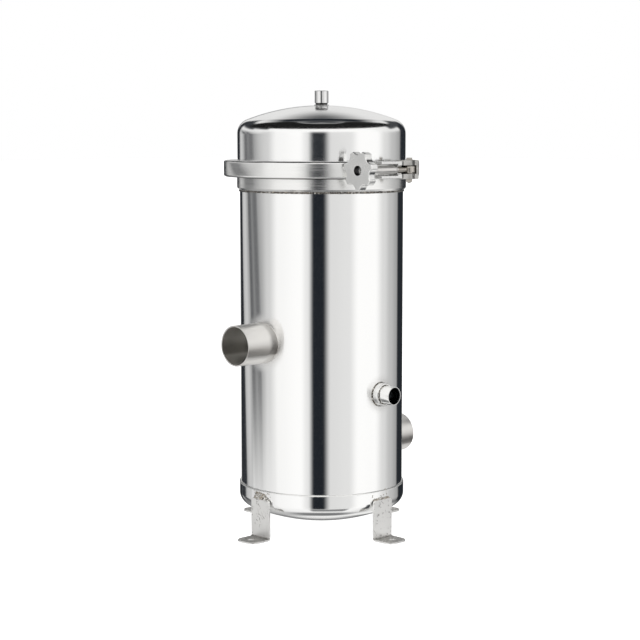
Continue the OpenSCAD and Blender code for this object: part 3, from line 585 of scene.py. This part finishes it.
def saddle_bead(radius, axis, height, width, rise, seed, count=420):
    """Bead where a pipe of the radius leaves the shell.

    At angle t round the pipe it lies r cos t across, r sin t up and sqrt(base^2 - (r cos t)^2) out from the
    housing axis. Its crown points between the shell's and the pipe's outward directions.
    """
    base_r = SHELL_R + 0.1
    turn = np.linspace(0, 2 * np.pi, count, endpoint=False)
    across = np.cross(axis, Z)
    lateral, vertical = radius * np.cos(turn), radius * np.sin(turn)
    wall = np.sqrt(base_r ** 2 - lateral ** 2)[:, None] * axis + lateral[:, None] * across
    away = lateral[:, None] * across + vertical[:, None] * Z
    outward = wall / base_r + away / radius
    outward /= np.linalg.norm(outward, axis=1, keepdims=True)
    return bead(wall + (vertical[:, None] + height) * Z, outward, width, rise, seed=seed)


def pipes():
    """Inlet, outlet, side nozzle and its collar, with rounded mouths and their beads."""
    for name, axis, height in (("inlet", -X, INLET_Z), ("outlet", X, OUTLET_Z)):
        wall = stub(PIPE_R, PIPE_BORE_R, axis, height, BORE_R, PIPE_REACH, corner=0.7)
        piece(name + "_stub", [wall], "housing", "pipe_steel", [name + "_pipe"])
        weld = saddle_bead(PIPE_R + 0.4, axis, height, width=1.8, rise=0.6, seed=3)
        piece(name + "_weld", [weld], "housing", "pipe_steel")
    nozzle = stub(NOZZLE_R, NOZZLE_BORE_R, -Y, NOZZLE_Z, BORE_R, NOZZLE_REACH, corner=0.6, count=72)
    piece("nozzle_stub", [nozzle], "housing", "mirror_steel", ["side_nozzle"], BRIGHT_TUBE)
    collar = stub(COLLAR_R, COLLAR_BORE_R, -Y, NOZZLE_Z, SHELL_R + 0.1, COLLAR_REACH, corner=1.5, count=72)
    piece("nozzle_collar", [collar], "housing", "satin_steel", ["side_nozzle_collar"])
    root = saddle_bead(COLLAR_R + 0.4, -Y, NOZZLE_Z, width=2.4, rise=0.9, seed=5, count=300)
    turn = np.linspace(0, 2 * np.pi, 240, endpoint=False)[:, None]
    ray = np.cos(turn) * X + np.sin(turn) * Z
    line = ray * (NOZZLE_R + 0.3) - Y * (COLLAR_REACH + 0.1) + Z * NOZZLE_Z
    neck = bead(line, (ray - Y) / math.sqrt(2), width=2.2, rise=0.9, pitch=1.8, seed=6)
    piece("nozzle_welds", [root, neck], "housing", "satin_steel", finish=DARK_WELD)


def seams():
    """Beads round the housing: the lap over the shell, the foot of the ring, and the neck on the lid."""
    lap = ring_bead(SHELL_R + 1.3, LAP_Z + 0.3, tilt=25, width=4.2, rise=1.6, count=2200, seed=11)
    piece("lap_weld", [lap], "housing", "satin_steel")
    ring = ring_bead(SHELL_R + 0.3, RING_Z - 1.0, tilt=-50, width=3.4, rise=1.3, count=2200, seed=12)
    piece("ring_weld", [ring], "housing", "satin_steel", finish=DARK_WELD)
    neck = ring_bead(12.0, APEX_Z + 0.2, tilt=50, width=2.4, rise=1.1, count=260, seed=13)
    piece("vent_weld", [neck], "lid", "fastener_steel")


def vent():
    """Socket on the lid: turned outside with a groove, and a thread in its bore.

    The bore's radius is the core plus 0.9 times 1 - |2 f - 1|, where f is the fraction of height / pitch -
    angle / full turn. The thread fades out over its last 1.2 mm at both ends.
    """
    root, top, core, count, steps = APEX_Z + 0.1, VENT_TOP, VENT_CORE_R, 72, 4
    neck = [(11.7, root), (11.7, root + 1.4), (VENT_NECK_R, root + 1.4), (VENT_NECK_R, root + 3.4)]
    body = [(VENT_R, root + 3.9), (VENT_R, top), (core, top), (core, root)]
    outside = rounded(neck + body, [0, 0.2, 0.3, 0.3, 0.4, 0.9, 0.9, 0], steps)
    # The last corner's points and the one before them give way to the thread's rows
    lip = len(outside) - (steps + 3) - 1
    level = np.arange(top - 1.4, root + 0.8, -VENT_PITCH / 6)[:, None]
    turn = np.linspace(0, 1, count, endpoint=False)[None, :]
    fade = np.clip(np.minimum(top - 1.0 - level, level - root - 0.5) / 1.2, 0, 1)
    thread = core + 0.9 * fade * (1 - np.abs(2 * ((level / VENT_PITCH - turn) % 1) - 1))
    radius = np.concatenate([np.repeat(outside[:lip, :1], count, 1), thread, np.full((1, count), core)])
    along = np.concatenate([outside[:lip, 1], level[:, 0], [root]])[:, None, None]
    ray = (turn * 2 * np.pi)[..., None]
    points = along * Z + radius[..., None] * (np.cos(ray) * X + np.sin(ray) * Y)
    piece("vent_fitting", [(points, grid_faces(len(radius), count, close_rows=True))], "lid",
          "fastener_steel", ["vent_socket"], SOCKET_STEEL)


def star_outline(count=280, lobes=7, depth=6.5, scallop=13.0, soft=2.4):
    """Angles, outline and outward normals of the knob in its own plane.

    The distance from the centre is the smooth minimum of the knob's radius and the near side of the scallop
    circle, c cos a - sqrt(scallop^2 - (c sin a)^2), where a is the angle from the nearest scallop's middle
    and c its centre's distance. The smooth minimum takes off h^2 soft / 4, with
    h = max(0, 1 - difference / soft).
    """
    angle = np.linspace(0, 2 * np.pi, count, endpoint=False)
    sector = 2 * np.pi / lobes
    off = angle % sector - sector / 2
    middle = KNOB_R - depth + scallop
    inside = np.clip(scallop ** 2 - (middle * np.sin(off)) ** 2, 0, None)
    near = np.where(inside > 0, middle * np.cos(off) - np.sqrt(inside), KNOB_R + 3 + 20 * np.abs(off))
    blend = np.clip(1 - np.abs(near - KNOB_R) / soft, 0, None)
    radius = np.minimum(near, KNOB_R) - blend ** 2 * soft / 4
    line = radius[:, None] * np.stack([np.cos(angle), np.sin(angle)], 1)
    ahead = np.roll(line, -1, 0) - np.roll(line, 1, 0)
    normal = np.stack([ahead[:, 1], -ahead[:, 0]], 1)
    return angle, line, normal / np.linalg.norm(normal, axis=1, keepdims=True)


def knob(edge_r=1.5):
    """Star knob: rows of the outline, each with its depth from the front.

    They are inset along the normals round the edges, then blended into the centre hole at share s as
    (1 - s) outline + s circle.
    """
    angle, line, normal = star_outline()
    circle = np.stack([np.cos(angle), np.sin(angle)], 1)
    inner = line - normal * edge_r
    rounding = [(line - normal * edge_r * (1 - math.cos(turn)), edge_r * (1 - math.sin(turn)))
                for turn in np.linspace(0, np.pi / 2, 6)]

    def face(hole_r, depth):
        """Rows from the edge's inner end to the broken edge of the hole."""
        return [(inner * (1 - share) + circle * (hole_r + 0.7) * share, depth)
                for share in (0.03, 0.3, 0.6, 0.85, 0.97)]

    hole, bore, seat = KNOB_HOLE_R, KNOB_BORE_R, KNOB_T - 6.1
    well = [(hole + 0.7, 0.0), (hole + 0.25, 0.15), (hole + 0.05, 0.5), (hole, 1.0), (hole, seat - 0.1),
            (hole - 0.05, seat), (bore + 0.1, seat), (bore, seat + 0.1), (bore, KNOB_T - 0.4),
            (bore + 0.4, KNOB_T)]
    back = [(outline, KNOB_T - inset) for outline, inset in rounding] + face(bore, KNOB_T)
    rows = rounding + face(hole, 0.0) + [(circle * radius, depth) for radius, depth in well] + back[::-1]
    rows += [(line, KNOB_T - 3.0), (line, 3.0)]
    flat = np.array([row[0] for row in rows])
    depth = np.array([row[1] for row in rows])[:, None, None]
    points = (KNOB_BACK - KNOB_T + depth) * X + BOLT_LINE - flat[..., :1] * Z + flat[..., 1:] * Y
    piece("lobed_knob", [(points, grid_faces(len(rows), len(angle), close_rows=True))], "knob", "cast_steel",
          ["star_knob"], KNOB_STEEL)


def bolt_and_sleeve():
    """Swing bolt with a real thread and a flattened ball eye, and the knob's sleeve with its tapered nose.

    The rod's radius is the bolt's less 0.8 times |2 f - 1|, where f is the fraction of distance / pitch +
    angle / full turn.
    """
    count, thread_end = 28, 12.5
    along = np.concatenate([[ROD_END_X, ROD_END_X + 0.01], np.arange(ROD_END_X + 1, 12.0, 0.25),
                            [13.0, 14.0, ROD_FOOT_X, ROD_FOOT_X + 0.01]])[:, None]
    turn = np.linspace(0, 1, count, endpoint=False)[None, :]
    radius = BOLT_R - 0.8 * np.abs(2 * ((along / BOLT_PITCH + turn) % 1) - 1) * (along < thread_end)
    radius[[0, -1]] = 0.0
    radius[1] = BOLT_R - 1.2
    ray = (turn * 2 * np.pi)[..., None]
    rod = along[..., None] * X + BOLT_LINE + radius[..., None] * (np.cos(ray) * Y + np.sin(ray) * Z)
    ball = np.linspace(-1, 1, 9) * math.asin(EYE_HALF / EYE_R)
    belly = [(min(EYE_WAIST_R, EYE_R * math.cos(a)), EYE_R * math.sin(a)) for a in ball]
    bore = [(PIN_BORE_R, EYE_HALF), (PIN_BORE_R, -EYE_HALF)]
    eye = rounded(belly + bore, [0.8] + [0.5] * 7 + [0.8, 0.4, 0.4], steps=3)
    shells = [(rod, grid_faces(len(along), count)), spun(eye, Z, BOLT_LINE + PIN_X * X, 72)]
    piece("threaded_bolt", shells, "bolt", "fastener_steel", ["swing_bolt"], BOLT_STEEL)
    neck = [(SLEEVE_BORE_R, KNOB_BACK - 6), (SLEEVE_NECK_R, KNOB_BACK - 6), (SLEEVE_NECK_R, KNOB_BACK + 0.1)]
    nose = [(SLEEVE_R, NOSE_X - 5), (NOSE_R, NOSE_X), (SLEEVE_BORE_R, NOSE_X)]
    sleeve = rounded(neck + [(SLEEVE_R, KNOB_BACK + 0.1)] + nose, [0, 0.4, 0, 0.3, 1.2, 0.4, 0.2])
    piece("tapered_sleeve", [spun(sleeve, X, BOLT_LINE, 72)], "knob", "cast_steel", ["knob_sleeve"],
          FINISHES["pipe_steel"])


def cartridge_places():
    """Feet of the twelve cartridges' axes: rings of nine and of three round the housing axis."""
    rings = []
    for count, radius, start in ((9, 107.0, 20.0), (3, 42.0, 60.0)):
        angle = np.radians(start + np.arange(count) * 360.0 / count)
        rings.append(np.stack([radius * np.cos(angle), radius * np.sin(angle), np.zeros(count)], 1))
    return np.concatenate(rings)


def round_springs():
    """Springs of round wire.

    The wire's centre climbs in a helix through three turns, of which the first and last 0.4 lie flat.
    """
    turns = np.linspace(0, 3, 3 * 28 + 1)
    climb = WIRE_R + 7.7 * np.clip((turns - 0.4) / 2.2, 0, 1)
    angle = turns * 2 * np.pi
    ray = np.stack([np.cos(angle), np.sin(angle), np.zeros_like(angle)], 1)
    section = np.linspace(0, 2 * np.pi, 8, endpoint=False)[None, :, None]
    wire_r = np.full_like(turns, WIRE_R)
    wire_r[[0, -1]] = 0.0
    wire = wire_r[:, None, None]
    out, up = COIL_R + np.cos(section) * wire, climb[:, None, None] + np.sin(section) * wire
    coil = ray[:, None] * out + Z * up
    shells = [(coil + place + Z * SPRING_Z, grid_faces(len(turns), 8)) for place in cartridge_places()]
    piece("wire_springs", shells, "hold_down", "spring_steel", ["cartridge_springs"])


def wound_elements():
    """Filter elements of yarn wound in crossing helices over a core tube.

    The radius is the element's less 1.1 times 1 - the larger of |sin(3.5 (t + l))| and |sin(3.5 (t - l))|,
    where t is the angle and l makes one turn over the height LAY. It is 1 mm less at the very ends.
    """
    count, rows = 84, 110
    angle = np.linspace(0, 2 * np.pi, count, endpoint=False)[None, :]
    level = np.linspace(ELEMENT_LOW, ELEMENT_TOP, rows)[:, None]
    lay = (level - ELEMENT_LOW) * 2 * np.pi / LAY
    strands = np.maximum(np.abs(np.sin(3.5 * (angle + lay))), np.abs(np.sin(3.5 * (angle - lay))))
    ends = np.abs(level - (ELEMENT_LOW + ELEMENT_TOP) / 2) > 253.0
    radius = ELEMENT_R - 1.1 * (1 - strands) - 1.0 * ends
    lines = [np.full((1, count), r) for r in (CORE_BORE_R, CORE_R, 29.0)]
    radius = np.concatenate(lines + [radius] + lines[::-1])
    along = np.concatenate([np.full((3, 1), ELEMENT_LOW), level, np.full((3, 1), ELEMENT_TOP)])
    ray = np.stack([np.cos(angle[0]), np.sin(angle[0]), np.zeros(count)], 1)
    wound = radius[..., None] * ray[None] + along[..., None] * Z
    faces = grid_faces(len(radius), count, close_rows=True)
    for number, place in enumerate(cartridge_places(), 1):
        piece(f"wound_element_{number:02d}", [(wound + place, faces)], "housing", "filter_media",
              [f"cartridge_{number:02d}"])


def foot_welds(plate_back=154.8, foot_top=74.2, count=110):
    """Uneven beads on top of each foot, between its plate and the head, and spatter up to the lap.

    A run lies sqrt(plate_back^2 - offset^2) out from the housing axis and wanders up and down. The spatter
    drops lie on the head or the shell, at random offsets, heights and sizes.
    """
    for index, (name, runs, drops) in enumerate((("right", 1, 8), ("back", 2, 10), ("left", 4, 46),
                                                 ("front", 1, 14))):
        ray = np.array([math.cos(index * math.pi / 2), math.sin(index * math.pi / 2), 0.0])
        side = np.cross(Z, ray)
        share = np.linspace(-1, 1, count)[:, None]
        shells = []
        for run in range(runs):
            spread = share * (20.0 - 2.5 * run) - 1.5 * run
            back = np.sqrt((plate_back - 0.9 * min(run, 2)) ** 2 - spread ** 2)
            wave = smooth_waves(count, 2, 30 + index + 4 * run)[:, None]
            path = back * ray + spread * side + (foot_top + 2.9 * run + 1.1 * wave) * Z
            outward = np.broadcast_to(ray * 0.6 + Z * 0.8, path.shape)
            shells.append(bead(path, outward, width=4.8, rise=1.9, closed=False, pitch=2.8,
                               seed=40 + index + 4 * run, lumps=0.5))
        chance = np.random.default_rng(60 + index)
        across, up = chance.uniform(-22, 22, drops), chance.uniform(75, 90, drops)
        for offset, level, size in zip(across, up, chance.uniform(0.5, 1.5, drops)):
            lump = size * np.array([(0.0, -0.5), (1.0, -0.4), (0.9, 0.3), (0.0, 0.6)])
            lump[[0, 3], 0] = 0.001
            reach = SKIRT_R if level < LAP_Z else SHELL_R + 1.0
            place = math.sqrt(reach ** 2 - offset ** 2) * ray - offset * side + level * Z
            shells.append(spun(rounded(lump, [0, 0.3, 0.4, 0], steps=3), ray, place, 12))
        piece("foot_weld_" + name, shells, "housing", "foot_steel", finish=WELD_METAL)


def ear_welds(half_height=14.2):
    """Upright beads where the slanted face of each ear, from its corner to its root, meets the band."""
    for name, body, corner, root in (("a", "clamp_a", (-48.0, -196.0), (-65.0, -159.0)),
                                     ("b", "clamp_b", (44.5, -191.0), (61.5, -159.0))):
        corner, root = np.array(corner), np.array(root)
        share = np.linspace(0, 1, 400)[:, None]
        line = corner * (1 - share) + root * share
        meet = line[np.argmin(np.abs(np.hypot(*line.T) - BAND_R))]
        level = np.linspace(-half_height, half_height, 90)[:, None]
        path = meet[0] * X + meet[1] * Y + (JOINT_Z + level) * Z
        ray = np.append(meet / np.hypot(*meet), 0.0)
        slope = np.append(corner - root, 0.0)
        face = np.cross(slope, Z) * (1 if name == "a" else -1)
        outward = ray + face / np.linalg.norm(face)
        outward = np.broadcast_to(outward / np.linalg.norm(outward), path.shape)
        weld = bead(path, outward, width=3.6, rise=1.4, closed=False, pitch=2.2, seed=70)
        piece("ear_weld_" + name, [weld], body, "cast_steel")


ROUNDED_NODES = {
    "clamp_half_a": 0.8, "clamp_half_b": 0.8, "ear_a": 1.2, "ear_b": 1.2, "hinge_pin": 0.6, "swing_pin": 0.5,
    "swing_pin_nut": 0.5, "foot_right": 0.8, "foot_back": 0.8, "foot_left": 0.8, "foot_front": 0.8,
    "wing_nut": 0.8, "tie_rod_nuts": 0.6, "hold_down_plate": 0.4, "hold_down_washer": 0.4,
    "thrust_washer": 0.25, "tube_plate": 0.4,
}


def dress_nodes():
    """Gives every CAD node the finish of its material slot, or its own."""
    for node, slot in SLOT_OF.items():
        materials = frame["nodes"][node].data.materials
        materials.clear()
        materials.append(OWN_FINISH.get(node, FINISHES[slot]))


# Studio and camera

CAMERA_TURN = -45.0
CAMERA_AWAY = 3.138
CAMERA_DOWN = 6.41
CAMERA_AIM = 0.3876
CAMERA_LENS = 95.93
AIM_SHIFT = -0.0024

# Wall of the light tent round the horizon: (degrees to the right of the camera, grey level)
TENT = [
    (-180, 0.62), (-168, 0.60), (-163, 0.02), (-150, 0.02), (-145, 0.50), (-135, 0.58), (-127, 0.40),
    (-123, 0.10), (-119, 0.10), (-114, 0.25), (-109, 0.14), (-103, 0.12), (-99, 0.36), (-80, 0.62),
    (-62, 0.94), (-30, 1.0), (-19, 0.80), (-11, 0.01), (2, 0.01), (13, 0.72), (38, 0.76), (54, 1.0),
    (80, 1.0), (98, 0.70), (114, 0.50), (131, 0.36), (138, 0.02), (165, 0.02), (172, 0.60), (180, 0.62),
]

# Cards and flags in the tent, with their angles in degrees:
# (bearing, half width, low edge, high edge, grey level, softness)
CARDS = [
    (-156, 5, -20, 20, 0.015, 5), (150, 10, -20, 20, 0.015, 6), (-100, 14, 26, 50, 0.02, 8),
    (108, 12, 38, 54, 0.03, 8), (92, 22, -42, -20, 0.05, 4), (12, 26, -50, -37, 0.22, 8),
    (-136, 22, 20, 32, 0.03, 6), (136, 20, 22, 32, 0.05, 6),
    (-92, 20, -30, -14, 0.85, 6), (158, 26, -60, -34, 0.85, 8),
]


def studio():
    """World: white to the camera, and a light tent with cards and flags in what the steel reflects.

    Each direction has its bearing from the camera and its rise above the horizon, in degrees.
    """
    world = bpy.data.worlds.new("studio")
    scene.world = world
    g = Graph(world)
    direction = g.node("TexCoord", output="Generated")
    turn = math.radians(CAMERA_TURN)
    toward = (math.sin(turn), -math.cos(turn), 0.0)
    right = (-toward[1], toward[0], 0.0)

    def along(axis):
        """How far the direction goes along the axis."""
        return g.node("VectorMath", {"operation": "DOT_PRODUCT"}, {0: direction, 1: axis}, output="Value")

    side, front, up = along(right), along(toward), along((0, 0, 1))
    bearing = side.math("ARCTAN2", side, front) * (180 / math.pi)
    rise = up.math("ARCSINE", up) * (180 / math.pi)
    fall = rise * -1
    # The wall's stripes left of the object lean, the others stand upright
    lean = (rise + 3.5) * bearing.ramp(-98, -80, 1.85, 0.0)
    low = g.node("ValToRGB", {"interpolation": "EASE", "stops": [((a + 180) / 360, v) for a, v in TENT]},
                 {"Fac": (bearing + lean) / 360.0 + 0.5})
    wall = g.node("RGBToBW", None, {"Color": low})
    front_share = front.ramp(-0.5, 0.5)
    aside = (180.0 - bearing.abs()) * 0.45
    above = front_share.blend((rise - aside).ramp(24, 43, 0.78, 0.0), rise.ramp(68, 82, 1.0, 0.02))
    under = front_share.blend(fall.ramp(12, 60, 0.12, 0.5), 0.92)
    under = fall.ramp(58, 78).blend(under, 0.18)
    level = front_share.blend(rise.ramp(3.0, 13.0), rise.ramp(7.0, 20.0)).blend(wall, above)
    level = front_share.blend(fall.ramp(13, 24), fall.ramp(26, 38)).blend(level, under)
    for middle, half, low_edge, high_edge, value, soft in CARDS:
        off = bearing.math("WRAP", bearing - middle, 180.0, -180.0).abs()
        share = off.ramp(half, half + soft, 1.0, 0.0) * rise.ramp(low_edge - soft, low_edge)
        level = (share * rise.ramp(high_edge, high_edge + soft, 1.0, 0.0)).blend(level, value)
    tone = level.clamp().tint((0.004, 0.007, 0.012), (1.0, 0.995, 0.985))
    seen = g.node("LightPath", output="Is Camera Ray")
    tone = seen.tint(tone, (1.0, 1.0, 1.0))
    shader = g.node("Background", None, {"Color": tone, "Strength": 1.0})
    g.node("OutputWorld", None, {"Surface": shader})


def pale_floor():
    """Floor: a wide sheet that shows white and keeps a soft shadow."""
    bpy.ops.mesh.primitive_grid_add(x_subdivisions=4, y_subdivisions=4, size=60)
    floor = bpy.context.object
    floor.name = "floor"
    material = bpy.data.materials.new("pale_floor")
    g = Graph(material)
    paper = g.node("BsdfDiffuse", None, {"Color": 0.8})
    glow = g.node("Emission", None, {"Color": 1.0, "Strength": 0.88})
    both = g.node("AddShader", None, {0: paper, 1: glow})
    g.node("OutputMaterial", None, {"Surface": both})
    floor.data.materials.append(material)
    floor.visible_glossy = False
    floor.visible_diffuse = False


def dark_flag():
    """Black flag over the lid, bent round the front: part of a cylinder of 0.4 m round the housing axis.

    Its low edge rises evenly from left to right. It is there for what the steel reflects, and shows neither
    to the camera nor as a shadow.
    """
    count = 57
    bearing = np.radians(np.linspace(-112, 112, count) + CAMERA_TURN - 90)[None, :, None]
    low = np.linspace(0.885, 0.945, count)[None, :, None]
    level = low + np.array([0.0, 0.3, 1.1])[:, None, None]
    points = 0.4 * (np.cos(bearing) * X + np.sin(bearing) * Y) + level * Z
    mesh = bpy.data.meshes.new("dark_flag")
    mesh.from_pydata(points.reshape(-1, 3).tolist(), [], grid_faces(3, count, close_columns=False).tolist())
    flag = bpy.data.objects.new("dark_flag", mesh)
    scene.collection.objects.link(flag)
    material = bpy.data.materials.new("black_cloth")
    g = Graph(material)
    cloth = g.node("BsdfDiffuse", None, {"Color": g.noise(g.place(), 40.0).tint(0.008, 0.014)})
    g.node("OutputMaterial", None, {"Surface": cloth})
    mesh.materials.append(material)
    flag.visible_camera = flag.visible_diffuse = flag.visible_shadow = False


def soft_lamp():
    """A large soft box over the camera's left shoulder, which only the floor and dull pieces see."""
    data = bpy.data.lights.new("soft_box", "AREA")
    data.shape, data.size, data.energy = "DISK", 2.2, 60.0
    lamp = bpy.data.objects.new("soft_box", data)
    scene.collection.objects.link(lamp)
    lamp.location = (-1.6, -1.2, 3.2)
    lamp.rotation_mode = "QUATERNION"
    lamp.rotation_quaternion = (Vector((0, 0, 0.3)) - lamp.location).to_track_quat("-Z", "Y")
    lamp.visible_glossy = False


def photo_camera():
    """Camera at the photograph's place: level distance, fall of the view line and lens."""
    data = bpy.data.cameras.new("camera")
    data.lens, data.sensor_width = CAMERA_LENS, 36.0
    data.shift_x = AIM_SHIFT
    data.clip_start, data.clip_end = 0.05, 200.0
    camera = bpy.data.objects.new("camera", data)
    scene.collection.objects.link(camera)
    turn, down = math.radians(CAMERA_TURN), math.radians(CAMERA_DOWN)
    camera.location = (CAMERA_AWAY * math.sin(turn), -CAMERA_AWAY * math.cos(turn),
                       CAMERA_AIM + CAMERA_AWAY * math.tan(down))
    camera.rotation_mode = "QUATERNION"
    camera.rotation_quaternion = (Vector((0, 0, CAMERA_AIM)) - camera.location).to_track_quat("-Z", "Y")
    scene.camera = camera


dress_nodes()
pipes()
seams()
vent()
knob()
bolt_and_sleeve()
foot_welds()
ear_welds()
round_springs()
wound_elements()
for rounded_node, edge_width in ROUNDED_NODES.items():
    softened(rounded_node, edge_width)
studio()
pale_floor()
dark_flag()
soft_lamp()
photo_camera()
scene.view_settings.view_transform = "Standard"
